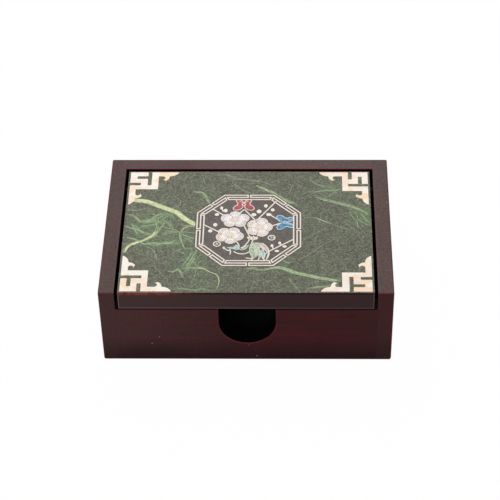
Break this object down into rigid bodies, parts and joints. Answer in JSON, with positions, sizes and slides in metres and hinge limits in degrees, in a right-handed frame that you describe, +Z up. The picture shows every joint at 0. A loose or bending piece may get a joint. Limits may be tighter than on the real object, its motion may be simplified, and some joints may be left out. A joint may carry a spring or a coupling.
{
  "type": "business card holder",
  "caption": "Lacquered wooden card box with a finger notch in front; its shell-inlaid lid lies flush between the side walls and swings up on pins at the rear.",
  "frame": {"origin": "middle of the underside, on the surface the box stands on", "axes": "+X to the right along the width, +Y to the rear, +Z up; the finger notch faces -Y"},
  "size_m": [0.11, 0.0766, 0.0362],
  "materials": {
    "lacquered_wood": "satin lacquer over dark reddish brown wood",
    "black_felt": "black nap",
    "pin_metal": "blackened drawn rod",
    "green_paper": "dyed fibrous paper under lacquer",
    "dark_lacquer": "dark lacquer",
    "pearl_shell": "polished mother-of-pearl",
    "red_shell": "shell over red ground",
    "blue_shell": "shell over blue ground",
    "rim_shell": "polished mother-of-pearl",
    "green_shell": "green mother-of-pearl",
    "pink_shell": "pink mother-of-pearl",
    "aqua_shell": "blue-green mother-of-pearl"
  },
  "bodies": {
    "case": {"front_wall": "lacquered_wood", "rear_wall": "lacquered_wood", "left_wall": "lacquered_wood", "right_wall": "lacquered_wood", "base_board": "lacquered_wood", "floor_lining": "black_felt"},
    "lid": {"lid_board": "lacquered_wood", "left_hinge_pin": "pin_metal", "right_hinge_pin": "pin_metal", "paper_panel": "green_paper", "octagon_ground": "dark_lacquer", "front_left_fret": "pearl_shell", "front_right_fret": "pearl_shell", "rear_left_fret": "pearl_shell", "rear_right_fret": "pearl_shell", "octagon_meander": "pearl_shell", "blossom_eyes": "pearl_shell", "upper_blossom": "pearl_shell", "lower_blossom": "pearl_shell", "right_blossom": "pearl_shell", "buds": "pearl_shell", "twigs": "pearl_shell", "tendrils": "pearl_shell", "red_butterfly_wings": "red_shell", "blue_butterfly_wings": "blue_shell", "red_butterfly_rim": "rim_shell", "blue_butterfly_rim": "rim_shell", "green_leaves": "green_shell", "pink_leaves": "pink_shell", "aqua_leaves": "aqua_shell"}
  },
  "joints": [
    {"name": "lid_hinge", "type": "hinge", "parent": "case", "child": "lid", "pos_m": [0, 0.02395, 0.0321], "axis": [-1, 0, 0], "range_deg": [0, 120]}
  ]
}
